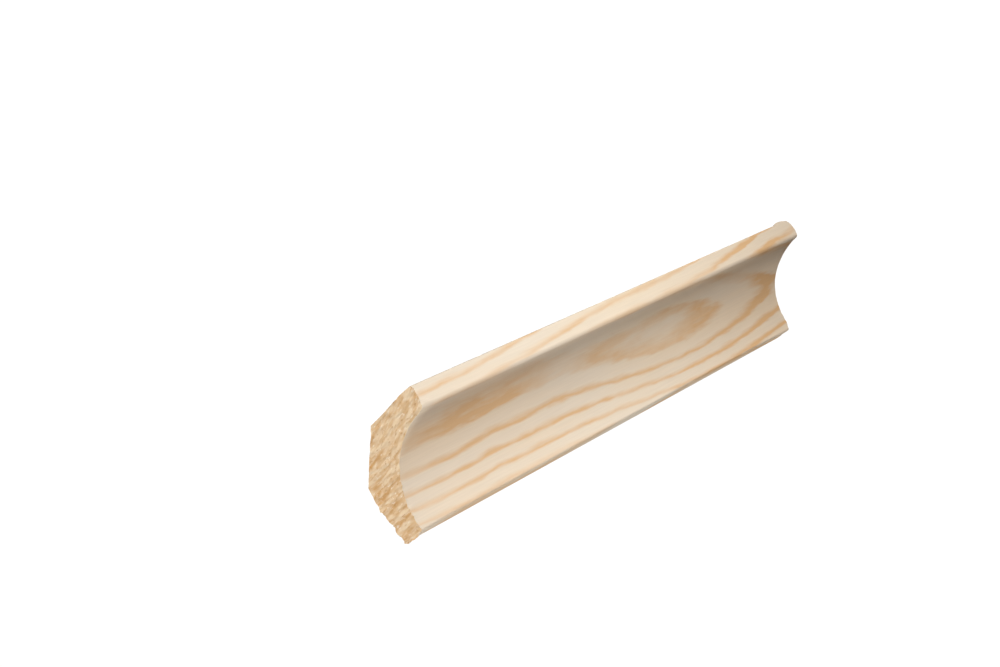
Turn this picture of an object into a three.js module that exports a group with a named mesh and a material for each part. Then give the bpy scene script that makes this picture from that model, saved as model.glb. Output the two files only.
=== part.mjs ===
// Cove moulding: one planed softwood strip that fills the corner between a wall and a ceiling.
// Millimetres, +Z up. X runs along the strip. The wall is the plane y = 0, the room lies towards -Y,
// and the origin is the middle of the face that lies on the wall.
import * as THREE from 'three';

// Driving dimensions
const LEG = 21; // reach of the strip down the wall, and the same out along the ceiling
const CHAMFER = 9; // corner planed off the back, measured along each leg
const LIP = 4.7; // narrow face at each edge of the cove, before its corner is eased
const THROAT = 6.6; // wood between the planed-off back and the deepest line of the cove
const LIP_EASE = 0.9; // radius where a lip turns into the cove
const TIP_EASE = 0.3; // radius where a lip turns into the wall face or the ceiling face
const LENGTH = 160; // the piece as cut, square at both ends
const HALF_ARC_STEPS = 14; // half the straight steps in each arc of the profile

// Places that follow from them
const CEILING = (LEG + CHAMFER) / 2; // height of the ceiling plane above the middle of the wall face
const QUARTER_TURN = Math.PI / 2;

// The cove is one circle, centred on the line that halves the corner. It passes through the corner of
// each lip, LEG out and LIP down, and through the deepest line, THROAT in front of the planed-off back.
const DEEPEST = CHAMFER / 2 + THROAT * Math.SQRT1_2; // distance of the deepest line from wall and ceiling
const COVE_CENTRE = (LEG ** 2 + LIP ** 2 - 2 * DEEPEST ** 2) / (2 * (LEG + LIP - 2 * DEEPEST));
const COVE_RADIUS = (COVE_CENTRE - DEEPEST) * Math.SQRT2;

/** A point of the profile, from its distance out of the wall and its distance below the ceiling. */
function fromCorner(out, down) {
  return new THREE.Vector2(-out, CEILING - down);
}

/** The closed outline across the strip, drawn in the plane of the wall's normal and the vertical. */
function coveProfile() {
  const cove = fromCorner(COVE_CENTRE, COVE_CENTRE);

  // The easing circle touches the lip from inside and the cove from outside.
  const easeOut = LEG - LIP_EASE;
  const easeDown = COVE_CENTRE - Math.sqrt((COVE_RADIUS + LIP_EASE) ** 2 - (easeOut - COVE_CENTRE) ** 2);
  const ceilingEase = fromCorner(easeOut, easeDown);
  const wallEase = fromCorner(easeDown, easeOut);
  const ceilingTip = fromCorner(LEG - TIP_EASE, TIP_EASE);
  const wallTip = fromCorner(TIP_EASE, LEG - TIP_EASE);

  // Directions from the middle of the cove to the two easing circles
  const ceilingSide = ceilingEase.clone().sub(cove).angle();
  const wallSide = QUARTER_TURN - ceilingSide;

  const outline = new THREE.Shape();
  const backAtCeiling = fromCorner(CHAMFER, 0);
  const backAtWall = fromCorner(0, CHAMFER);
  outline.moveTo(backAtWall.x, backAtWall.y);
  outline.lineTo(backAtCeiling.x, backAtCeiling.y);
  outline.absarc(ceilingTip.x, ceilingTip.y, TIP_EASE, QUARTER_TURN, Math.PI, false);
  outline.absarc(ceilingEase.x, ceilingEase.y, LIP_EASE, Math.PI, ceilingSide + Math.PI, false);
  outline.absarc(cove.x, cove.y, COVE_RADIUS, ceilingSide, wallSide, true);
  outline.absarc(wallEase.x, wallEase.y, LIP_EASE, wallSide + Math.PI, -QUARTER_TURN, false);
  outline.absarc(wallTip.x, wallTip.y, TIP_EASE, -QUARTER_TURN, 0, false);
  outline.closePath();
  return outline;
}

/** The whole strip: the profile carried along X and cut square at both ends. */
function coveMoulding() {
  const pine = new THREE.MeshStandardMaterial({ color: 0xe4d2b4, roughness: 0.62, metalness: 0 });
  const strip = new THREE.ExtrudeGeometry(coveProfile(), {
    depth: LENGTH,
    bevelEnabled: false,
    curveSegments: HALF_ARC_STEPS,
  });
  const moulding = new THREE.Mesh(strip, pine);
  moulding.name = 'cove_moulding';
  // The profile is drawn flat and pulled up its own third axis: these two turns bring that axis to X.
  moulding.rotation.set(QUARTER_TURN, QUARTER_TURN, 0);
  moulding.position.x = -LENGTH / 2;
  return moulding;
}

const part = new THREE.Group();
part.add(coveMoulding());

export default part;
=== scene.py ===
"""A short length of pine cove moulding, dressed for a studio picture.

The strip is one closed surface: a profile carried along X, with a sawn end grain face at each end.
Metres, +Z up. The wall is the plane y = 0, the ceiling the plane z = 0.015, and the cove looks into the
room, towards -Y and -Z.
"""

import logging
import math
from dataclasses import dataclass
from enum import Enum

import bpy
import numpy as np
from mathutils import Matrix, Vector
from numpy.typing import NDArray


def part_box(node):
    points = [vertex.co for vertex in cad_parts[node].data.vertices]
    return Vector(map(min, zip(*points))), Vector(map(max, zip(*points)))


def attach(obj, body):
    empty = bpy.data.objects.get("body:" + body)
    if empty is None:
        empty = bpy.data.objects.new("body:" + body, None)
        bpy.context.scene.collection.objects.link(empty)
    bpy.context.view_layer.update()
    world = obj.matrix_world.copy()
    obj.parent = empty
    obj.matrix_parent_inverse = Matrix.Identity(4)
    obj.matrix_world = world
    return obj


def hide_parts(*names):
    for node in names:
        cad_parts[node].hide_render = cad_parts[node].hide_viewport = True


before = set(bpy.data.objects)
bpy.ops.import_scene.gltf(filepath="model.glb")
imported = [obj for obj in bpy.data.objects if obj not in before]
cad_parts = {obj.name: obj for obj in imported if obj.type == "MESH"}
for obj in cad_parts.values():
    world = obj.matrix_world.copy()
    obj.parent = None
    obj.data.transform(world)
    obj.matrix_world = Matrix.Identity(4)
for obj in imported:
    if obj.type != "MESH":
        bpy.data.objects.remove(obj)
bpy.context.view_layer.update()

Floats = NDArray[np.float64]
Ints = NDArray[np.int64]
Colour = tuple[float, float, float]
Place = tuple[float, float, float]
Scale = tuple[float, float, float]
Span = tuple[float, float]

MM = 0.001
NODE = "cove_moulding"
BODY = "root"
RING_ATTRIBUTE = "ring_phase"
DEPTH_ATTRIBUTE = "late_wood_depth"
PHOTO_WIDTH = 1000
SENSOR_WIDTH = 36.0

log = logging.getLogger("cove_moulding")


class Side(Enum):
    """The four long sides of the strip, between the middles of its eased edges."""

    BACK = "ceiling face, planed-off corner and wall face"
    FRONT = "cove"
    CEILING_LIP = "narrow face under the ceiling"
    WALL_LIP = "narrow face against the wall"


class Cut(Enum):
    """The two sawn ends, by the direction that each faces along X."""

    NEAR = -1
    FAR = 1


def mm(x: float, y: float, z: float) -> Place:
    """Turn a place or a push in millimetres into metres."""
    return x * MM, y * MM, z * MM


def linear(red: int, green: int, blue: int) -> Colour:
    """Turn a screen colour into linear light, by the usual screen curve.

    Args:
        red: red from 0 to 255.
        green: green from 0 to 255.
        blue: blue from 0 to 255.

    Returns:
        The same colour as three linear values from 0 to 1.
    """
    screen = np.array((red, green, blue)) / 255.0
    light = np.where(screen <= 0.04045, screen / 12.92, ((screen + 0.055) / 1.055) ** 2.4)
    return tuple(float(value) for value in light)


def smooth_step(value: Floats, start: float, stop: float) -> Floats:
    """Ease from 0 at start to 1 at stop: three times the square less twice the cube of the share.

    Args:
        value: where to work it out.
        start: value at which the step begins.
        stop: value at which the step is over.

    Returns:
        The eased share at each value.
    """
    share = np.clip((value - start) / (stop - start), 0.0, 1.0)
    return share * share * (3.0 - 2.0 * share)


def arc(centre: Floats, radius: float, start: float, stop: float) -> Floats:
    """Points on a circle: the centre plus the radius times cosine and sine of an angle that runs evenly.

    Args:
        centre: middle of the circle, in Y and Z.
        radius: radius of the circle.
        start: first angle, in degrees from +Y towards +Z.
        stop: last angle, in degrees.

    Returns:
        One row of Y and Z for each point.
    """
    points_per_degree = 1.2
    count = 2 + math.ceil(abs(stop - start) * points_per_degree)
    angle = np.radians(np.linspace(start, stop, count))
    return centre + radius * np.stack([np.cos(angle), np.sin(angle)], axis=1)


@dataclass(frozen=True)
class WaveNoise:
    """Random unevenness of a chosen grain size, the same on every run.

    Attributes:
        size: length of a typical bump.
        seed: start of the random draws.
        waves: how many plane waves are added up.
        pitch_range: how much coarser and finer than the size a wave may be.
    """

    size: float
    seed: int
    waves: int = 48
    pitch_range: Span = (0.6, 1.5)

    def at(self, points: Floats) -> Floats:
        """Add up cosines of random direction, pitch and start, so that the usual height is about 1.

        Args:
            points: one row of coordinates for each point, in any number of dimensions.

        Returns:
            The height at each point.
        """
        draws = np.random.default_rng(self.seed)
        direction = draws.normal(size=(self.waves, points.shape[-1]))
        direction /= np.linalg.norm(direction, axis=1, keepdims=True)
        pitch = 2.0 * math.pi / self.size * draws.uniform(*self.pitch_range, self.waves)
        start = draws.uniform(0.0, 2.0 * math.pi, self.waves)
        turns = points @ (direction * pitch[:, None]).T + start
        return np.cos(turns).sum(axis=-1) * math.sqrt(2.0 / self.waves)


@dataclass(frozen=True)
class CoveProfile:
    """Outline across the strip, in Y and Z.

    Attributes:
        leg: reach down the wall, and out along the ceiling.
        ceiling: height of the ceiling plane.
        chamfer: corner planed off the back, along each leg.
        lip: narrow face at each edge of the cove, before easing.
        throat: wood between the planed-off back and the deepest line of the cove.
        lip_ease: radius where the ceiling lip turns into the cove.
        low_ease: radius where the wall lip turns into the cove, which is crisper.
        tip_ease: radius where a lip turns into the wall or ceiling face.
        back_ease: radius of the two back corners.
        bend_share: length that a bend of one radian counts for when points are spread along a side.
        touching: distance under which two points are taken as one.
    """

    leg: float
    ceiling: float
    chamfer: float = 9.0 * MM
    lip: float = 4.7 * MM
    throat: float = 6.6 * MM
    lip_ease: float = 0.9 * MM
    low_ease: float = 0.45 * MM
    tip_ease: float = 0.3 * MM
    back_ease: float = 0.25 * MM
    bend_share: float = 1.0 * MM
    touching: float = 0.0001 * MM

    def place(self, out: float, down: float) -> Floats:
        """Y and Z of a point, from its distances out of the wall and below the ceiling."""
        return np.array((-out, self.ceiling - down))

    def cove_circle(self) -> tuple[Floats, float]:
        """Circle of the cove, through the corner of each lip and the deepest line.

        Its middle is on the line that halves the corner of wall and ceiling.

        Returns:
            The middle of the circle in Y and Z, and its radius.
        """
        deepest = self.chamfer / 2.0 + self.throat * math.sqrt(0.5)
        squares = self.leg**2 + self.lip**2 - 2.0 * deepest**2
        middle = squares / (2.0 * (self.leg + self.lip - 2.0 * deepest))
        return self.place(middle, middle), (middle - deepest) * math.sqrt(2.0)

    def lip_turn(self, ease: float) -> tuple[float, float, float]:
        """Easing circle that touches a lip from inside and the cove from outside, as if at the ceiling.

        Args:
            ease: radius of the easing circle.

        Returns:
            Its distances out of the wall and below the ceiling, and the angle from the cove's middle to it,
            in degrees.
        """
        cove, radius = self.cove_circle()
        inset = self.leg - ease
        aside = inset + cove[0]
        rise = math.sqrt((radius + ease) ** 2 - aside**2)
        return inset, -cove[0] - rise, 90.0 + math.degrees(math.atan2(aside, rise))

    def outlines(self) -> dict[Side, Floats]:
        """Each long side as a dense line: arcs for eased edges and cove, joined by straight stretches.

        Returns:
            Points in Y and Z, from ceiling to wall on the back and front, and from back to front on the lips.
        """
        cove, radius = self.cove_circle()
        inset, sunk, top = self.lip_turn(self.lip_ease)
        ceiling_ease = self.place(inset, sunk)
        low_inset, low_sunk, low = self.lip_turn(self.low_ease)
        wall_ease = self.place(low_sunk, low_inset)
        tip_inset = self.leg - self.tip_ease
        ceiling_tip, wall_tip = self.place(tip_inset, self.tip_ease), self.place(self.tip_ease, tip_inset)
        setback = self.chamfer + self.back_ease * math.tan(math.pi / 8.0)
        upper_back, lower_back = self.place(setback, self.back_ease), self.place(self.back_ease, setback)
        upper_middle = 180.0 + top / 2.0
        lower_middle = 270.0 - low / 2.0
        back = [arc(ceiling_tip, self.tip_ease, 135.0, 90.0), arc(upper_back, self.back_ease, 90.0, 45.0)]
        back += [arc(lower_back, self.back_ease, 45.0, 0.0), arc(wall_tip, self.tip_ease, 0.0, -45.0)]
        front = [arc(ceiling_ease, self.lip_ease, upper_middle, 180.0 + top)]
        front += [arc(cove, radius, top, 90.0 - low)]
        front += [arc(wall_ease, self.low_ease, 270.0 - low, lower_middle)]
        ceiling_lip = [arc(ceiling_tip, self.tip_ease, 135.0, 180.0)]
        ceiling_lip += [arc(ceiling_ease, self.lip_ease, 180.0, upper_middle)]
        wall_lip = [arc(wall_tip, self.tip_ease, -45.0, -90.0)]
        wall_lip += [arc(wall_ease, self.low_ease, 270.0, lower_middle)]
        lines = (back, front, ceiling_lip, wall_lip)
        return {side: np.concatenate(line) for side, line in zip(Side, lines)}

    def spread(self, line: Floats, steps: int) -> Floats:
        """Spread points along a line by length and bend together, so that eased edges get more of them.

        Args:
            line: dense points in Y and Z.
            steps: number of steps between the new points.

        Returns:
            One more point than there are steps, the first and last where the line begins and ends.
        """
        kept = np.linalg.norm(np.diff(line, axis=0), axis=1) > self.touching
        line = np.concatenate([line[:1], line[1:][kept]])
        run = np.diff(line, axis=0)
        length = np.linalg.norm(run, axis=1)
        heading = np.unwrap(np.arctan2(run[:, 1], run[:, 0]))
        bend = np.concatenate([[0.0], np.abs(np.diff(heading))])
        way = np.concatenate([[0.0], np.cumsum(length + self.bend_share * bend)])
        even = np.linspace(0.0, way[-1], steps + 1)
        return np.stack([np.interp(even, way, line[:, 0]), np.interp(even, way, line[:, 1])], axis=1)

    def sides(self, steps_along: int, steps_across: int) -> dict[Side, Floats]:
        """The four sides as points: as many on the back as on the front, and on one lip as on the other.

        Args:
            steps_along: steps from the ceiling side to the wall side.
            steps_across: steps from back to front.

        Returns:
            Points in Y and Z for each side.
        """
        steps = {Side.BACK: steps_along, Side.FRONT: steps_along}
        outlines = self.outlines()
        return {side: self.spread(line, steps.get(side, steps_across)) for side, line in outlines.items()}


@dataclass(frozen=True)
class Patch:
    """A smooth local change in the wood, such as rings that swell near a branch or late wood that fades.

    Attributes:
        place: its middle.
        along: its reach along the strip.
        across: its reach across the strip.
        height: how much it changes at its middle.
    """

    place: Place
    along: float
    across: float
    height: float

    def at(self, points: Floats) -> Floats:
        """Bell curve of the distance from the middle, counted in reaches, times the height.

        Args:
            points: X, Y and Z in rows.

        Returns:
            The change at each point.
        """
        reach = np.array((self.along, self.across, self.across))
        away = ((points - np.array(self.place)) / reach) ** 2
        return self.height * np.exp(-0.5 * away.sum(axis=1))


@dataclass(frozen=True)
class GrowthRings:
    """Yearly rings round a pith line that lies above the ceiling corner and slants against the strip.

    Attributes:
        pith: Y and Z of the pith line at the middle of the strip.
        slant: change of the pith's Y and Z for each unit along X.
        first_radius: radius of the ring that is counted as 0.
        width: width of one ring.
        swell: height of the long wave in the rings, in rings.
        swell_crest: X of its crest.
        swell_length: length of the wave.
        bulges: local swellings, in rings.
        tones: places where the late wood is paler or deeper, as a share of its usual depth.
    """

    pith: tuple[float, float] = (15.0 * MM, 59.6 * MM)
    slant: tuple[float, float] = (0.158, -0.070)
    first_radius: float = 59.33 * MM
    width: float = 2.75 * MM
    swell: float = 0.32
    swell_crest: float = 39.0 * MM
    swell_length: float = 118.0 * MM
    bulges: tuple[Patch, ...] = (
        Patch(mm(23.0, -9.0, 5.7), along=24.0 * MM, across=5.0 * MM, height=-0.67),
        Patch(mm(51.5, -13.7, 10.5), along=31.0 * MM, across=5.3 * MM, height=0.86),
        Patch(mm(77.0, -20.8, 11.6), along=6.5 * MM, across=4.2 * MM, height=-0.32),
        Patch(mm(-69.0, -13.0, 8.6), along=12.0 * MM, across=2.8 * MM, height=0.22),
        Patch(mm(33.0, -9.0, 5.7), along=9.0 * MM, across=2.0 * MM, height=0.28),
        Patch(mm(0.0, -14.4, 9.3), along=13.0 * MM, across=1.8 * MM, height=0.18),
        Patch(mm(-66.0, -15.5, 9.6), along=12.0 * MM, across=2.2 * MM, height=0.20),
        Patch(mm(-51.0, -5.8, 1.0), along=4.0 * MM, across=4.5 * MM, height=0.16),
        Patch(mm(-55.0, -21.0, 13.0), along=25.0 * MM, across=2.5 * MM, height=-0.22),
        Patch(mm(11.0, -9.8, 6.2), along=7.0 * MM, across=2.5 * MM, height=0.14),
    )
    tones: tuple[Patch, ...] = (
        Patch(mm(-25.0, -12.9, 8.6), along=9.0 * MM, across=4.0 * MM, height=-0.78),
        Patch(mm(-77.0, -13.0, 8.6), along=7.5 * MM, across=4.5 * MM, height=-0.55),
        Patch(mm(28.0, -19.0, 10.3), along=16.0 * MM, across=3.0 * MM, height=-0.60),
        Patch(mm(60.0, -14.2, 9.1), along=11.0 * MM, across=2.4 * MM, height=-0.72),
        Patch(mm(-50.0, -18.5, 10.2), along=13.0 * MM, across=2.2 * MM, height=-0.80),
        Patch(mm(5.0, -13.6, 8.9), along=9.0 * MM, across=1.6 * MM, height=-0.50),
        Patch(mm(-58.0, -12.4, 8.3), along=11.0 * MM, across=2.2 * MM, height=0.45),
        Patch(mm(-35.0, -4.5, -5.5), along=25.0 * MM, across=1.6 * MM, height=-0.60),
        Patch(mm(74.0, -8.7, 5.3), along=6.0 * MM, across=4.0 * MM, height=0.30),
        Patch(mm(72.0, -5.0, -1.7), along=18.0 * MM, across=6.0 * MM, height=0.25),
        Patch(mm(53.0, -21.0, 13.5), along=12.0 * MM, across=2.5 * MM, height=0.70),
        Patch(mm(2.0, -21.0, 13.2), along=18.0 * MM, across=2.5 * MM, height=-0.35),
        Patch(mm(-75.0, -4.8, -3.4), along=7.0 * MM, across=3.0 * MM, height=-0.40),
        Patch(mm(-78.0, -7.0, 3.1), along=6.5 * MM, across=2.4 * MM, height=-0.38),
        Patch(mm(78.0, -21.0, 12.6), along=5.0 * MM, across=2.0 * MM, height=-0.45),
        Patch(mm(-60.0, -21.0, 13.0), along=25.0 * MM, across=2.5 * MM, height=-0.25),
        Patch(mm(10.0, -4.8, -4.0), along=14.0 * MM, across=3.0 * MM, height=-0.30),
        Patch(mm(20.0, -8.5, 5.0), along=20.0 * MM, across=3.5 * MM, height=-0.30),
        Patch(mm(-80.0, -13.0, 13.0), along=0.7 * MM, across=5.5 * MM, height=-0.50),
    )

    def phase(self, points: Floats) -> Floats:
        """Ring number: distance from the pith less the first radius, over the width, then waved.

        Args:
            points: X, Y and Z in rows.

        Returns:
            The ring number, whole where one year's dark wood ends and the next year's pale wood begins.
        """
        x = points[:, 0]
        y = points[:, 1] - self.pith[0] - self.slant[0] * x
        z = points[:, 2] - self.pith[1] - self.slant[1] * x
        rings = (np.hypot(y, z) - self.first_radius) / self.width
        rings -= self.swell * np.cos(2.0 * math.pi * (x - self.swell_crest) / self.swell_length)
        return rings + sum(bulge.at(points) for bulge in self.bulges)

    def depth(self, points: Floats) -> Floats:
        """Depth of the late wood's colour: one plus the tones, and never under nothing.

        Args:
            points: X, Y and Z in rows.

        Returns:
            The depth at each point, 1 where it is the usual one.
        """
        return np.maximum(1.0 + sum(tone.at(points) for tone in self.tones), 0.0)


@dataclass(frozen=True)
class SawnEnd:
    """Unevenness of one sawn end, all of it within about a millimetre of the cut.

    Attributes:
        cut: which end it is.
        tear: usual depth of the torn fibres.
        ridge: how far the dark wood stands out of the cut.
        fray: usual raggedness of the lower edge.
        reach: length over which the raggedness fades into the planed faces.
        seed: start of the random draws.
        tear_stretch: factors on Y and Z that draw the tears out sideways.
        coarse_tear: length of a coarse tear.
        fine_tear: length of a fine tear.
        coarse_share: share of the coarse tears in the depth.
        fine_share: share of the fine tears.
        even_share: share of an even depth that both of them vary.
        ridge_span: shares of a ring between which its wood begins to stand out of the cut.
        ragged: length of a ragged stretch of the edge.
        bite: length of a bite in the edge.
        ragged_share: share of the ragged stretches.
        bite_share: share of the bites.
        low_span: heights between which the raggedness grows.
        wall_span: distances from the wall, as Y, between which it grows further.
        least_fray: share of the raggedness that is left high up.
        least_low_fray: share of the low raggedness that is left away from the wall.
    """

    cut: Cut
    tear: float
    ridge: float
    fray: float
    reach: float
    seed: int
    tear_stretch: tuple[float, float] = (0.3, 1.0)
    coarse_tear: float = 1.5 * MM
    fine_tear: float = 0.6 * MM
    coarse_share: float = 0.6
    fine_share: float = 0.35
    even_share: float = 0.8
    ridge_span: Span = (0.45, 0.85)
    ragged: float = 2.2 * MM
    bite: float = 0.8 * MM
    ragged_share: float = 0.7
    bite_share: float = 0.4
    low_span: Span = (6.0 * MM, 2.0 * MM)
    wall_span: Span = (-6.0 * MM, -1.0 * MM)
    least_fray: float = 0.12
    least_low_fray: float = 0.35

    def depth(self, section: Floats, rings: Floats) -> Floats:
        """Depth below the cut: coarse and fine unevenness added up, less where dark wood stands out.

        Args:
            section: Y and Z in rows.
            rings: ring number of each row.

        Returns:
            Depth below the cut plane at each row.
        """
        stroke = section * np.array(self.tear_stretch)
        coarse = WaveNoise(self.coarse_tear, self.seed).at(stroke)
        fine = WaveNoise(self.fine_tear, self.seed + 1).at(stroke)
        dark = smooth_step(rings - np.floor(rings), *self.ridge_span)
        torn = self.tear * (self.coarse_share * coarse + self.fine_share * fine + self.even_share)
        return np.maximum(torn - self.ridge * dark, 0.0)

    def edge(self, section: Floats) -> Floats:
        """Raggedness of the edge, out of the planed faces: largest low down and on the wall face.

        Args:
            section: Y and Z of the edge in rows.

        Returns:
            Distance out of the planed face at each row.
        """
        ragged = WaveNoise(self.ragged, self.seed + 2).at(section)
        bite = WaveNoise(self.bite, self.seed + 3).at(section)
        low = smooth_step(section[:, 1], *self.low_span)
        at_wall = smooth_step(section[:, 0], *self.wall_span)
        low_share = self.least_low_fray + (1.0 - self.least_low_fray) * at_wall
        share = self.least_fray + (1.0 - self.least_fray) * low * low_share
        return self.fray * share * (self.ragged_share * ragged + self.bite_share * bite)


@dataclass(frozen=True)
class Blemish:
    """A knock, a burr or a lifted splinter at one place on the strip.

    Attributes:
        place: where the wood is moved most.
        before: reach from there towards -X.
        after: reach from there towards +X.
        across: reach across the strip.
        push: how far the wood is moved.
    """

    place: Place
    before: float
    after: float
    across: float
    push: Place

    def moved(self, points: Floats) -> Floats:
        """Move each point by the push, times a share that eases to nothing at the reach each way.

        Args:
            points: X, Y and Z in rows.

        Returns:
            The points after the move.
        """
        away = points - np.array(self.place)
        along = np.abs(away[:, 0]) / np.where(away[:, 0] < 0.0, self.before, self.after)
        across = np.hypot(away[:, 1], away[:, 2]) / self.across
        share = smooth_step(along, 1.0, 0.0) * smooth_step(across, 1.0, 0.0)
        return points + share[:, None] * np.array(self.push)


class NodeSheet:
    """Shorthand for adding and joining the nodes of one tree."""

    def __init__(self, tree: bpy.types.NodeTree) -> None:
        """Work on a tree, which starts empty.

        Args:
            tree: tree of a material, a world or a group.
        """
        self.tree = tree
        tree.nodes.clear()

    def add(self, kind: str, inputs: dict[str | int, object], **settings: object) -> bpy.types.Node:
        """Add one node, set it up and join or fill its inputs.

        Args:
            kind: Blender's name for the sort of node.
            inputs: for each input, a value or the output that feeds it.
            **settings: properties of the node itself.

        Returns:
            The new node.
        """
        node = self.tree.nodes.new(kind)
        for name, value in settings.items():
            setattr(node, name, value)
        for name, value in inputs.items():
            if isinstance(value, bpy.types.NodeSocket):
                self.tree.links.new(value, node.inputs[name])
            else:
                node.inputs[name].default_value = value
        return node

    def math(self, operation: str, *values: object) -> bpy.types.NodeSocket:
        """Work out one sum of values or outputs.

        Args:
            operation: Blender's name for the sum.
            *values: numbers or outputs, in order.

        Returns:
            The output that holds the result.
        """
        return self.add("ShaderNodeMath", dict(enumerate(values)), operation=operation).outputs[0]

    def ease(self, value: bpy.types.NodeSocket, low: object, high: object) -> bpy.types.NodeSocket:
        """Ease a value from 0 at low to 1 at high, each a number or an output."""
        inputs = {"Value": value, "From Min": low, "From Max": high}
        return self.add("ShaderNodeMapRange", inputs, interpolation_type="SMOOTHSTEP").outputs[0]

    def stretch(self, vector: bpy.types.NodeSocket, scale: Scale) -> bpy.types.NodeSocket:
        """Scale a position along each axis by its own factor."""
        return self.add("ShaderNodeMapping", {"Vector": vector, "Scale": scale}).outputs[0]

    def noise(self, vector: bpy.types.NodeSocket, scale: float, detail: float = 2.0) -> bpy.types.NodeSocket:
        """Cloudy noise from 0 to 1, with features of about one over the scale."""
        inputs = {"Vector": vector, "Scale": scale, "Detail": detail}
        return self.add("ShaderNodeTexNoise", inputs).outputs["Fac"]

    def drawn_noise(self, vector: bpy.types.NodeSocket, scale: Scale, detail: float) -> bpy.types.NodeSocket:
        """Cloudy noise from 0 to 1, drawn out so that each axis has features of about one over its scale."""
        return self.noise(self.stretch(vector, scale), 1.0, detail)

    def blend(self, share: object, first: object, second: object, how: str = "MIX") -> bpy.types.NodeSocket:
        """Blend two colours by a share.

        Args:
            share: how much of the second colour is used.
            first: colour or output.
            second: colour or output.
            how: Blender's name for the blend.

        Returns:
            The output that holds the blended colour.
        """
        inputs = {0: share, 6: rgba(first), 7: rgba(second)}
        node = self.add("ShaderNodeMix", inputs, data_type="RGBA", blend_type=how)
        return node.outputs[2]

    def relief(self, height: bpy.types.NodeSocket, strength: float, depth: float) -> bpy.types.NodeSocket:
        """Fine relief that is only shaded, from a height of 0 to 1 and its depth in metres."""
        inputs = {"Height": height, "Strength": strength, "Distance": depth}
        return self.add("ShaderNodeBump", inputs).outputs[0]

    def surface(self, inputs: dict[str | int, object]) -> None:
        """End a material with its surface, from a value or an output for each named input."""
        shader = self.add("ShaderNodeBsdfPrincipled", inputs)
        self.add("ShaderNodeOutputMaterial", {"Surface": shader.outputs[0]})


def rgba(colour: object) -> object:
    """Give a plain colour its fourth value, and leave an output as it is."""
    return (*colour, 1.0) if isinstance(colour, tuple) else colour


def new_material(name: str) -> tuple[bpy.types.Material, NodeSheet]:
    """Start a material of the given name, and the empty sheet of its nodes."""
    made = bpy.data.materials.new(name)
    made.use_nodes = True
    return made, NodeSheet(made.node_tree)


def put_in_scene(name: str, data: bpy.types.ID) -> bpy.types.Object:
    """Make an object of a mesh, a lamp or a camera, and link it to the scene."""
    made = bpy.data.objects.new(name, data)
    bpy.context.scene.collection.objects.link(made)
    return made


class PineGrain:
    """Node group with the marks that every cut of the pine shows: yearly rings and fibre.

    Inputs: Ring, the ring number, Depth, the depth of its late wood, Place, a position in metres, and Edge,
    the share of a ring after which its dark wood fades into the next ring.
    Outputs: Latewood, 0 in pale and about 1 in dark wood, Fibre, fine streaks along X, and Cloud, slow
    changes of tone.

    Attributes:
        name: name of the group.
        waver_scale: features for each metre, along each axis, of the waver in the ring lines.
        waver: height of that waver, in rings.
        dark_span: shares of a ring between which its wood darkens.
        bead_scale: features for each metre of the beads of deeper colour in the dark wood.
        bead_gain: how strongly the beads deepen it.
        bead_floor: depth of the dark wood between the beads.
        fibre_scale: features for each metre of the fine streaks.
        cloud_scale: features for each metre of the slow changes of tone.
    """

    name: str = "pine_grain"
    waver_scale: Scale = (120.0, 700.0, 700.0)
    waver: float = 0.42
    dark_span: Span = (0.41, 0.83)
    bead_scale: Scale = (160.0, 420.0, 420.0)
    bead_gain: float = 1.2
    bead_floor: float = 0.45
    fibre_scale: Scale = (90.0, 3200.0, 3200.0)
    cloud_scale: Scale = (18.0, 160.0, 160.0)

    def __init__(self) -> None:
        """Build the group once."""
        self.group = bpy.data.node_groups.new(self.name, "ShaderNodeTree")
        face = self.group.interface
        face.new_socket("Place", in_out="INPUT", socket_type="NodeSocketVector")
        for name in ("Ring", "Depth", "Edge"):
            face.new_socket(name, in_out="INPUT", socket_type="NodeSocketFloat")
        for name in ("Latewood", "Fibre", "Cloud"):
            face.new_socket(name, in_out="OUTPUT", socket_type="NodeSocketFloat")
        self._wire()

    def _wire(self) -> None:
        """Dark wood rises slowly about the middle of each ring and falls faster before the next one."""
        sheet = NodeSheet(self.group)
        given = sheet.add("NodeGroupInput", {}).outputs
        wander = sheet.drawn_noise(given["Place"], self.waver_scale, detail=3.0)
        drift = sheet.math("MULTIPLY", sheet.math("SUBTRACT", wander, 0.5), self.waver)
        share = sheet.math("FRACT", sheet.math("ADD", given["Ring"], drift))
        rise = sheet.ease(share, *self.dark_span)
        fall = sheet.ease(share, 1.0, given["Edge"])
        beads = sheet.drawn_noise(given["Place"], self.bead_scale, detail=2.0)
        beaded = sheet.math("MULTIPLY_ADD", beads, self.bead_gain, self.bead_floor)
        uneven = sheet.math("MULTIPLY", given["Depth"], beaded)
        dark = sheet.math("MULTIPLY", sheet.math("MULTIPLY", rise, fall), uneven)
        fibre = sheet.drawn_noise(given["Place"], self.fibre_scale, detail=4.0)
        cloud = sheet.drawn_noise(given["Place"], self.cloud_scale, detail=2.0)
        sheet.add("NodeGroupOutput", {"Latewood": dark, "Fibre": fibre, "Cloud": cloud})

    def place_in(self, sheet: NodeSheet, edge: float) -> dict[str, bpy.types.NodeSocket]:
        """Put the group into a material and feed it the ring number and the place on the piece.

        Args:
            sheet: nodes of the material.
            edge: share of a ring after which its dark wood fades.

        Returns:
            The outputs that feed the group and those that it puts out, by name.
        """
        fed = {
            "Ring": sheet.add("ShaderNodeAttribute", {}, attribute_name=RING_ATTRIBUTE).outputs["Fac"],
            "Depth": sheet.add("ShaderNodeAttribute", {}, attribute_name=DEPTH_ATTRIBUTE).outputs["Fac"],
            "Place": sheet.add("ShaderNodeTexCoord", {}).outputs["Object"],
        }
        node = sheet.add("ShaderNodeGroup", {**fed, "Edge": edge}, node_tree=self.group)
        return {**fed, **{output.name: output for output in node.outputs}}


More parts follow.
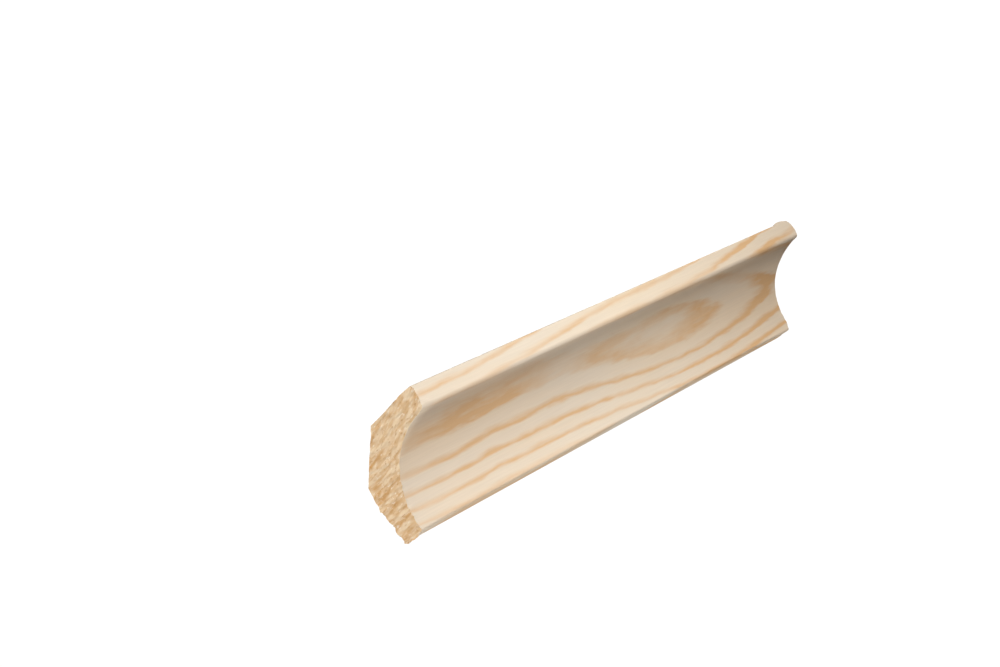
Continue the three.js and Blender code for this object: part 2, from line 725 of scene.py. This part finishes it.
@dataclass(frozen=True)
class PlanedPine:
    """Bare pine as it leaves the planer, cut along the fibre.

    Attributes:
        pale: colour of the wood grown in spring.
        dark: colour of the wood grown late in the year.
        warm: tone that drifts over the pale wood.
        far_shade_tint: what is left of each colour at the far end: painted warm shade that makes the far end
            yellower and slightly darker.
        roughness: how matt the surface is.
        edge: share of a ring after which its dark wood fades.
        warm_span: values of the cloud between which the pale wood turns warm.
        streak: how much the fibre varies the tone.
        far_shade_span: X between which the painted warm shade comes in.
        rough_spread: how much the fibre varies the roughness.
        fibre_bump: strength of the fibre's relief.
        fibre_depth: depth of the fibre's relief.
        gloss: level of the shine.
    """

    pale: Colour = linear(227, 214, 193)
    dark: Colour = linear(221, 184, 138)
    warm: Colour = linear(230, 213, 187)
    far_shade_tint: Colour = (1.0, 0.955, 0.91)
    roughness: float = 0.55
    edge: float = 0.76
    warm_span: Span = (0.35, 0.75)
    streak: float = 0.14
    far_shade_span: Span = (-10.0 * MM, 75.0 * MM)
    rough_spread: float = 0.2
    fibre_bump: float = 0.12
    fibre_depth: float = 0.05 * MM
    gloss: float = 0.3

    def material(self, grain: PineGrain) -> bpy.types.Material:
        """Mix pale and dark wood by the rings, then vary the tone by cloud and fibre.

        Args:
            grain: shared marks of the pine.

        Returns:
            The finished material.
        """
        made, sheet = new_material("planed_pine")
        marks = grain.place_in(sheet, self.edge)
        pale = sheet.blend(sheet.ease(marks["Cloud"], *self.warm_span), self.pale, self.warm)
        wood = sheet.blend(marks["Latewood"], pale, self.dark)
        streak = sheet.math("MULTIPLY_ADD", marks["Fibre"], self.streak, 1.0 - self.streak / 2.0)
        wood = sheet.blend(1.0, wood, streak, "MULTIPLY")
        # Painted warm shade: each colour turns yellower and slightly darker towards the far end.
        along = sheet.add("ShaderNodeSeparateXYZ", {"Vector": marks["Place"]}).outputs["X"]
        wood = sheet.blend(sheet.ease(along, *self.far_shade_span), wood, self.far_shade_tint, "MULTIPLY")
        least_rough = self.roughness - self.rough_spread / 2.0
        rough = sheet.math("MULTIPLY_ADD", marks["Fibre"], self.rough_spread, least_rough)
        relief = sheet.relief(marks["Fibre"], self.fibre_bump, self.fibre_depth)
        shine = {"Roughness": rough, "Specular IOR Level": self.gloss}
        sheet.surface({"Base Color": wood, "Normal": relief, **shine})
        return made


@dataclass(frozen=True)
class SawnPine:
    """End grain as the saw leaves it: deeper in colour, matt, flecked and torn.

    Attributes:
        pale: colour of the spring wood on end.
        ruddy: colour of the blotches in it.
        dark: colour of the late wood on end.
        fleck: colour of torn fibre tips.
        pit_and_shade: colour in the small torn holes: partly the wood's own, partly painted shade in the
            hollows of the bump.
        roughness: how matt the surface is.
        edge: share of a ring after which its dark wood fades.
        stroke_scale: strokes for each ring, and for each metre along Y.
        speck_scale: specks for each ring, and for each metre along Y.
        blotch_scale: blotches for each ring, and for each metre along Y.
        blotch_span: values of the blotch noise between which the pale wood turns ruddy.
        break_span: values of the stroke noise between which the dark wood becomes whole.
        drawn_span: values of the stroke noise between which dark wood is drawn over the rest.
        fleck_span: values of the speck noise between which a fleck shows.
        pit_and_shade_span: values of the speck noise, downwards, between which the dark holes and their
            painted shade show.
        speck_bump: strength of the specks' relief.
        speck_depth: depth of the specks' relief.
        gloss: level of the shine.
    """

    pale: Colour = linear(236, 212, 177)
    ruddy: Colour = linear(223, 190, 147)
    dark: Colour = linear(207, 159, 102)
    fleck: Colour = linear(250, 236, 214)
    pit_and_shade: Colour = linear(188, 140, 92)
    roughness: float = 0.85
    edge: float = 0.75
    stroke_scale: Scale = (3.8, 230.0, 1.0)
    speck_scale: Scale = (7.2, 850.0, 1.0)
    blotch_scale: Scale = (3.0, 380.0, 1.0)
    blotch_span: Span = (0.38, 0.62)
    break_span: Span = (0.30, 0.60)
    drawn_span: Span = (0.48, 0.72)
    fleck_span: Span = (0.56, 0.79)
    pit_and_shade_span: Span = (0.43, 0.22)
    speck_bump: float = 0.25
    speck_depth: float = 0.2 * MM
    gloss: float = 0.2

    def material(self, grain: PineGrain) -> bpy.types.Material:
        """Mix the rings on end, then add pale flecks, dark holes with painted shade in them and a grainy
        bump.

        Args:
            grain: shared marks of the pine.

        Returns:
            The finished material.
        """
        made, sheet = new_material("sawn_pine")
        marks = grain.place_in(sheet, self.edge)
        sideways = sheet.add("ShaderNodeSeparateXYZ", {"Vector": marks["Place"]}).outputs["Y"]
        way = sheet.add("ShaderNodeCombineXYZ", {"X": marks["Ring"], "Y": sideways}).outputs[0]
        stroke = sheet.drawn_noise(way, self.stroke_scale, detail=2.0)
        speck = sheet.drawn_noise(way, self.speck_scale, detail=2.0)
        blotch = sheet.drawn_noise(way, self.blotch_scale, detail=1.0)
        spring = sheet.blend(sheet.ease(blotch, *self.blotch_span), self.pale, self.ruddy)
        broken = sheet.math("MULTIPLY", marks["Latewood"], sheet.ease(stroke, *self.break_span))
        wood = sheet.blend(broken, spring, self.dark)
        drawn = sheet.math("MULTIPLY", sheet.ease(stroke, *self.drawn_span), marks["Depth"])
        wood = sheet.blend(drawn, wood, self.dark)
        wood = sheet.blend(sheet.ease(speck, *self.fleck_span), wood, self.fleck)
        # Dark holes where the speck noise is low, as in the bump's hollows: partly the wood's own colour,
        # partly painted shade.
        wood = sheet.blend(sheet.ease(speck, *self.pit_and_shade_span), wood, self.pit_and_shade)
        relief = sheet.relief(speck, self.speck_bump, self.speck_depth)
        shine = {"Roughness": self.roughness, "Specular IOR Level": self.gloss}
        sheet.surface({"Base Color": wood, "Normal": relief, **shine})
        return made


@dataclass
class CoveMoulding:
    """The whole strip: planed faces along X and a sawn face at each end.

    Attributes:
        profile: outline across the strip.
        start: X of the near end.
        stop: X of the far end.
        rings: growth rings of the board it was planed from.
        near: near end.
        far: far end.
        blemishes: knocks and splinters, all close to the ends.
        steps_along: steps from the ceiling side to the wall side.
        steps_across: steps from back to front.
        fine_step: step along X at the ends.
        coarse_step: step along X in the middle.
        fine_reach: length over which the step grows from fine to coarse.
    """

    profile: CoveProfile
    start: float
    stop: float
    rings: GrowthRings
    near: SawnEnd
    far: SawnEnd
    blemishes: tuple[Blemish, ...]
    steps_along: int = 180
    steps_across: int = 40
    fine_step: float = 0.15 * MM
    coarse_step: float = 1.6 * MM
    fine_reach: float = 12.0 * MM

    @property
    def around(self) -> int:
        """Points once around the profile."""
        return 2 * (self.steps_along + self.steps_across)

    def stations(self) -> Floats:
        """Space the cross sections: steps grow evenly from fine at the ends to coarse away from them.

        Returns:
            X of each cross section.
        """
        dense_count = 4000
        dense = np.linspace(self.start, self.stop, dense_count)
        inside = np.minimum(dense - self.start, self.stop - dense)
        share = np.clip(inside / self.fine_reach, 0.0, 1.0)
        step = self.fine_step + (self.coarse_step - self.fine_step) * share
        counted = np.concatenate([[0.0], np.cumsum(np.diff(dense) / step[1:])])
        return np.interp(np.linspace(0.0, counted[-1], math.ceil(counted[-1]) + 1), counted, dense)

    def loop(self) -> Floats:
        """Once around the profile: back to the wall, wall lip, cove to the ceiling, ceiling lip.

        Returns:
            Y and Z in rows, with no point twice.
        """
        sides = self.profile.sides(self.steps_along, self.steps_across)
        going_down = (sides[Side.BACK], sides[Side.WALL_LIP])
        coming_up = (sides[Side.FRONT][::-1], sides[Side.CEILING_LIP][::-1])
        return np.concatenate([run[:-1] for run in going_down + coming_up])

    def cap_numbers(self) -> Ints:
        """Number the edge points of an end face as in the loop.

        Returns:
            The numbers on the end's own grid, and -1 inside it.
        """
        along, across = self.steps_along, self.steps_across
        grid = np.full((along + 1, across + 1), -1)
        grid[:, 0] = np.arange(along + 1)
        grid[-1, :] = along + np.arange(across + 1)
        grid[:, -1] = 2 * along + across - np.arange(along + 1)
        grid[0, :] = (self.around - np.arange(across + 1)) % self.around
        return grid

    def outward(self, loop: Floats) -> Floats:
        """Directions out of the wood: the run from the last to the next point, turned a quarter.

        Args:
            loop: Y and Z once around the profile.

        Returns:
            A unit direction in Y and Z for each point.
        """
        run = np.roll(loop, -1, axis=0) - np.roll(loop, 1, axis=0)
        run /= np.linalg.norm(run, axis=1, keepdims=True)
        return np.stack([-run[:, 1], run[:, 0]], axis=1)

    def cap_section(self, rim: Floats) -> Floats:
        """Fill an end's edge: back blended to cove, plus lip blended to lip, less the corners blended.

        Args:
            rim: Y and Z once around the end.

        Returns:
            Y and Z on the end's grid.
        """
        grid = rim[self.cap_numbers()]
        along = np.linspace(0.0, 1.0, self.steps_along + 1)[:, None, None]
        across = np.linspace(0.0, 1.0, self.steps_across + 1)[None, :, None]
        fore_aft = (1.0 - across) * grid[:, :1] + across * grid[:, -1:]
        side_side = (1.0 - along) * grid[:1, :] + along * grid[-1:, :]
        corners = (1.0 - along) * ((1.0 - across) * grid[0, 0] + across * grid[0, -1])
        corners = corners + along * ((1.0 - across) * grid[-1, 0] + across * grid[-1, -1])
        return fore_aft + side_side - corners

    def end_points(self, end: SawnEnd, loop: Floats) -> tuple[Floats, Floats]:
        """Place the points of one end: the edge frayed, the face torn to its depth.

        Args:
            end: the end.
            loop: Y and Z once around the true profile.

        Returns:
            Points once around the edge, and points on the end's grid, in X, Y and Z.
        """
        plane = self.stop if end.cut is Cut.FAR else self.start
        rim = loop + self.outward(loop) * end.edge(loop)[:, None]
        section = self.cap_section(rim).reshape(-1, 2)
        flat = np.concatenate([np.full((len(section), 1), plane), section], axis=1)
        flat[:, 0] -= end.cut.value * end.depth(section, self.rings.phase(flat))
        grid = flat.reshape(self.steps_along + 1, self.steps_across + 1, 3)
        numbers = self.cap_numbers()
        on_edge = numbers >= 0
        edge = np.empty((self.around, 3))
        edge[numbers[on_edge]] = grid[on_edge]
        return edge, grid

    def points(self) -> Floats:
        """All points: the loop at every station, bent to meet each end's edge, then the ends' insides.

        The blemishes are put in last, so that they move planed and sawn faces together.

        Returns:
            X, Y and Z in rows.
        """
        stations, loop = self.stations(), self.loop()
        body = np.empty((len(stations), self.around, 3))
        body[:, :, 0] = stations[:, None]
        body[:, :, 1:] = loop[None]
        insides = []
        for end in (self.near, self.far):
            edge, grid = self.end_points(end, loop)
            which = -1 if end.cut is Cut.FAR else 0
            pull = edge - body[which]
            fade = 1.0 - smooth_step(np.abs(stations - stations[which]), 0.0, end.reach)
            body = body + fade[:, None, None] * pull[None]
            insides.append(grid[1:-1, 1:-1].reshape(-1, 3))
        whole = np.concatenate([body.reshape(-1, 3), *insides])
        for blemish in self.blemishes:
            whole = blemish.moved(whole)
        return whole

    def quads(self, station_count: int) -> tuple[Ints, Ints]:
        """Faces by the numbers of their points, all facing out of the wood.

        Args:
            station_count: number of cross sections.

        Returns:
            Four point numbers for each face, and 0 for a planed or 1 for a sawn face.
        """
        row = np.arange(station_count - 1)[:, None] * self.around
        here = np.arange(self.around)[None, :]
        after = (here + 1) % self.around
        next_row = row + self.around
        corners = (row + here, next_row + here, next_row + after, row + after)
        planed = np.stack(corners, axis=-1).reshape(-1, 4)
        inside = (self.steps_along - 1) * (self.steps_across - 1)
        sawn = []
        for turn, cut in enumerate(Cut):
            grid = self.cap_numbers() + (station_count - 1) * self.around * turn
            first = station_count * self.around + turn * inside
            numbers = first + np.arange(inside)
            grid[1:-1, 1:-1] = numbers.reshape(self.steps_along - 1, self.steps_across - 1)
            corners = (grid[:-1, :-1], grid[1:, :-1], grid[1:, 1:], grid[:-1, 1:])
            faces = np.stack(corners, axis=-1).reshape(-1, 4)
            sawn.append(faces if cut is Cut.NEAR else faces[:, ::-1])
        kinds = np.concatenate([np.zeros(len(planed)), np.ones(2 * len(sawn[0]))])
        return np.concatenate([planed, *sawn]), kinds.astype(np.int64)

    def build(self) -> bpy.types.Object:
        """Make the mesh, with sharp edges round the two ends and the ring number and depth on every point.

        Returns:
            The strip, in the scene and with no material yet.
        """
        points = self.points()
        station_count = len(self.stations())
        quads, kinds = self.quads(station_count)
        mesh = bpy.data.meshes.new("cove_moulding_dressed")
        mesh.vertices.add(len(points))
        mesh.vertices.foreach_set("co", points.ravel())
        mesh.loops.add(quads.size)
        mesh.loops.foreach_set("vertex_index", quads.ravel())
        mesh.polygons.add(len(quads))
        mesh.polygons.foreach_set("loop_start", np.arange(0, quads.size, 4))
        mesh.update(calc_edges=True)
        mesh.polygons.foreach_set("material_index", kinds)
        mesh.polygons.foreach_set("use_smooth", np.ones(len(quads), dtype=bool))
        ends = np.zeros(len(points), dtype=bool)
        ends[: self.around] = True
        ends[(station_count - 1) * self.around : station_count * self.around] = True
        edges = np.empty(2 * len(mesh.edges), dtype=np.int32)
        mesh.edges.foreach_get("vertices", edges)
        mesh.edges.foreach_set("use_edge_sharp", ends[edges.reshape(-1, 2)].all(axis=1))
        for name, values in ((RING_ATTRIBUTE, self.rings.phase), (DEPTH_ATTRIBUTE, self.rings.depth)):
            layer = mesh.attributes.new(name, "FLOAT", "POINT")
            layer.data.foreach_set("value", values(points).astype(np.float32))
        mesh.update()
        return put_in_scene("cove_moulding_dressed", mesh)

    def dress(self, piece: bpy.types.Object, planed: PlanedPine, sawn: SawnPine, grain: PineGrain) -> None:
        """Give the strip its two finishes and put it in the place of the plain solid.

        Args:
            piece: the strip.
            planed: finish of the long faces.
            sawn: finish of the ends.
            grain: marks that both finishes share.
        """
        piece.data.materials.append(planed.material(grain))
        piece.data.materials.append(sawn.material(grain))
        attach(piece, BODY)
        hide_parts(NODE)


@dataclass(frozen=True)
class SoftLight:
    """A square, soft studio lamp.

    Attributes:
        name: name of the lamp.
        place: where it stands.
        size: length of its side.
        power: power in watts.
        colour: colour of its light.
        sheen: whether the wood mirrors it.
    """

    name: str
    place: Place
    size: float
    power: float
    colour: Colour = (1.0, 1.0, 1.0)
    sheen: bool = True

    def build(self, target: Vector) -> bpy.types.Object:
        """Hang the lamp in its place, looking at a target.

        Args:
            target: point that it looks at.

        Returns:
            The lamp, in the scene.
        """
        data = bpy.data.lights.new(self.name, "AREA")
        data.shape = "SQUARE"
        data.size = self.size
        data.energy = self.power
        data.color = self.colour
        lamp = put_in_scene(self.name, data)
        lamp.location = self.place
        lamp.visible_glossy = self.sheen
        lamp.rotation_euler = (target - Vector(self.place)).to_track_quat("-Z", "Y").to_euler()
        return lamp


@dataclass
class Studio:
    """Pale floor, white surroundings, soft lamps and the camera of the picture.

    Attributes:
        target: place that the lamps look at.
        floor_height: height of the floor.
        floor_size: radius of the floor.
        eye: where the camera stands.
        ahead: direction in which it looks.
        upright: direction that is up in the picture.
        focal: focal length in widths of a pixel.
        glow: strength of the light from all around.
        backdrop: strength of the white that the camera sees behind the strip.
        floor_tones: the two tones that drift over the floor.
        floor_glow: strength of the floor's own light.
        lamps: the lamps.
    """

    target: Vector
    floor_height: float = -0.8
    floor_size: float = 2.6
    eye: Place = (-0.35894, -0.23205, -0.03782)
    ahead: Place = (0.8187, 0.5556, 0.1449)
    upright: Place = (0.2267, -0.5453, 0.8070)
    focal: float = 2023.5
    glow: float = 0.03
    backdrop: float = 1.05
    floor_tones: tuple[Colour, Colour] = (linear(238, 238, 236), linear(244, 244, 243))
    floor_glow: float = 0.85
    lamps: tuple[SoftLight, ...] = (
        SoftLight("front_near", (-0.02, -0.22, 0.0), 0.12, 0.352, (1.0, 0.99, 1.0)),
        SoftLight("front_above", (0.1, -0.48, 0.33), 0.3, 1.05),
        SoftLight("left_low", (-0.22, -0.16, -0.15), 0.12, 0.245, (1.0, 0.89, 0.86)),
        SoftLight("left_behind", (-0.52, 0.17, 0.15), 0.3, 2.0, sheen=False),
        SoftLight("behind_below", (-0.12, 0.41, -0.39), 0.2, 2.9),
        SoftLight("right_behind", (0.62, 0.12, 0.3), 0.4, 5.0, sheen=False),
    )

    def floor(self) -> bpy.types.Object:
        """A round pale floor: rings of growing radius about a middle point, all at one height.

        Returns:
            The floor.
        """
        spokes, hoops = 96, 6
        angle = np.linspace(0.0, 2.0 * math.pi, spokes, endpoint=False)
        radius = self.floor_size * np.arange(1, hoops + 1) / hoops
        x = radius[:, None] * np.cos(angle)[None]
        y = radius[:, None] * np.sin(angle)[None]
        flat = np.stack([x, y, np.full_like(x, self.floor_height)], axis=-1).reshape(-1, 3)
        points = np.concatenate([flat, [[0.0, 0.0, self.floor_height]]])
        here, after = np.arange(spokes), (np.arange(spokes) + 1) % spokes
        row = np.arange(hoops - 1)[:, None] * spokes
        rings = np.stack([row + here, row + spokes + here, row + spokes + after, row + after], axis=-1)
        hub = np.stack([np.full(spokes, len(flat)), here, after], axis=-1)
        mesh = bpy.data.meshes.new("floor")
        mesh.from_pydata(points.tolist(), [], rings.reshape(-1, 4).tolist() + hub.tolist())
        made = put_in_scene("floor", mesh)
        made.visible_diffuse = False
        made.visible_glossy = False
        mesh.materials.append(self.floor_paint())
        return made

    def floor_paint(self) -> bpy.types.Material:
        """Pale matt paint with a faint cloud in it and a glow that keeps it pale away from the lamps.

        Returns:
            The finished paint.
        """
        made, sheet = new_material("pale_floor")
        place = sheet.add("ShaderNodeTexCoord", {}).outputs["Object"]
        cloud = sheet.noise(place, scale=3.0)
        paint = sheet.blend(cloud, *self.floor_tones)
        own_light = {"Emission Color": paint, "Emission Strength": self.floor_glow}
        sheet.surface({"Base Color": paint, "Roughness": 0.8, **own_light})
        return made

    def surroundings(self) -> None:
        """White to the eye, and a weaker even light on everything else."""
        world = bpy.data.worlds.new("white_room")
        world.use_nodes = True
        sheet = NodeSheet(world.node_tree)
        seen = sheet.add("ShaderNodeLightPath", {}).outputs["Is Camera Ray"]
        white = rgba((1.0, 1.0, 1.0))
        room = sheet.add("ShaderNodeBackground", {"Color": white, "Strength": self.glow})
        backdrop = sheet.add("ShaderNodeBackground", {"Color": white, "Strength": self.backdrop})
        mixed = sheet.add("ShaderNodeMixShader", {0: seen, 1: room.outputs[0], 2: backdrop.outputs[0]})
        sheet.add("ShaderNodeOutputWorld", {"Surface": mixed.outputs[0]})
        bpy.context.scene.world = world

    def camera(self) -> bpy.types.Object:
        """Set up the camera from its place and the two directions that hold it.

        Returns:
            The camera, made the scene's own.
        """
        data = bpy.data.cameras.new("picture_camera")
        data.sensor_width = SENSOR_WIDTH
        data.lens = self.focal * SENSOR_WIDTH / PHOTO_WIDTH
        data.clip_start = 0.01
        back = -Vector(self.ahead).normalized()
        right = Vector(self.upright).cross(back).normalized()
        up = back.cross(right)
        turn = Matrix((right, up, back)).transposed().to_4x4()
        made = put_in_scene("picture_camera", data)
        made.matrix_world = Matrix.Translation(self.eye) @ turn
        bpy.context.scene.camera = made
        return made

    def build(self) -> None:
        """Put up the camera, the surroundings, the floor and the lamps."""
        self.camera()
        self.surroundings()
        self.floor()
        for lamp in self.lamps:
            lamp.build(self.target)
            log.info("lamp %s: %.2f W", lamp.name, lamp.power)
        bpy.context.scene.view_settings.view_transform = "Standard"


def end_blemishes(start: float, stop: float) -> tuple[Blemish, ...]:
    """List the damage at the two ends, as it can be seen in the outline.

    Args:
        start: X of the near end.
        stop: X of the far end.

    Returns:
        Burrs on the wall face and the wall lip, a knocked back corner, a chipped lip, a splinter and worn
        far corners.
    """
    # Each has its place, its reach before, after and across, and its push.
    reach = 3.0 * MM
    wall_burr = Blemish((start, 0.0, 2.0 * MM), reach, reach, 4.6 * MM, mm(0.0, 0.74, 0.0))
    low_burr = Blemish((start, 0.0, -4.2 * MM), reach, reach, 5.4 * MM, mm(0.0, 0.42, 0.0))
    lip_burr = Blemish((start, -1.8 * MM, -6.0 * MM), reach, 4.6 * MM, 4.0 * MM, mm(0.0, 0.0, -0.38))
    knock = Blemish((start, -9.0 * MM, 15.0 * MM), reach, 6.0 * MM, 10.0 * MM, mm(0.0, 0.36, -0.70))
    chip = Blemish((start, -21.0 * MM, 10.9 * MM), reach, 3.6 * MM, 2.2 * MM, mm(0.0, 0.40, 0.36))
    lifted = (stop - 5.9 * MM, -21.0 * MM, 15.0 * MM)
    splinter = Blemish(lifted, 0.9 * MM, 8.0 * MM, 2.4 * MM, mm(0.0, 0.0, 0.48))
    worn_tip = Blemish((stop, -21.0 * MM, 15.2 * MM), reach, reach, 1.6 * MM, mm(-0.75, 0.0, -0.15))
    lean = Blemish((stop, -15.0 * MM, 10.0 * MM), 6.0 * MM, reach, 8.5 * MM, mm(1.0, 0.0, 0.0))
    worn_lip = Blemish((stop, -4.7 * MM, -6.0 * MM), 25.0 * MM, reach, 2.4 * MM, mm(-0.6, 0.0, -0.2))
    blunt_lip = Blemish((stop, -4.4 * MM, -6.0 * MM), 1.5 * MM, reach, 1.5 * MM, mm(-0.85, 0.0, 0.1))
    blunt_tip = Blemish((stop, -20.8 * MM, 10.8 * MM), 1.5 * MM, reach, 1.4 * MM, mm(-0.5, 0.0, 0.0))
    at_near_end = (wall_burr, low_burr, lip_burr, knock, chip)
    at_far_end = (splinter, worn_tip, lean, worn_lip, blunt_lip, blunt_tip)
    return at_near_end + at_far_end


def main() -> None:
    """Build the strip, dress it, light it, and report each piece."""
    logging.basicConfig(level=logging.INFO, format="%(name)s: %(message)s")
    low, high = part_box(NODE)
    moulding = CoveMoulding(
        profile=CoveProfile(leg=high.y - low.y, ceiling=high.z),
        start=low.x,
        stop=high.x,
        rings=GrowthRings(),
        near=SawnEnd(Cut.NEAR, tear=0.08 * MM, ridge=0.06 * MM, fray=0.16 * MM, reach=1.6 * MM, seed=11),
        far=SawnEnd(Cut.FAR, tear=0.05 * MM, ridge=0.04 * MM, fray=0.05 * MM, reach=1.6 * MM, seed=31),
        blemishes=end_blemishes(low.x, high.x),
    )
    piece = moulding.build()
    moulding.dress(piece, PlanedPine(), SawnPine(), PineGrain())
    log.info("piece %s: %d faces", piece.name, len(piece.data.polygons))
    towards_near_end = Vector(mm(-30.0, 0.0, 0.0))
    Studio(target=(low + high) / 2.0 + towards_near_end).build()


if __name__ == "__main__":
    main()
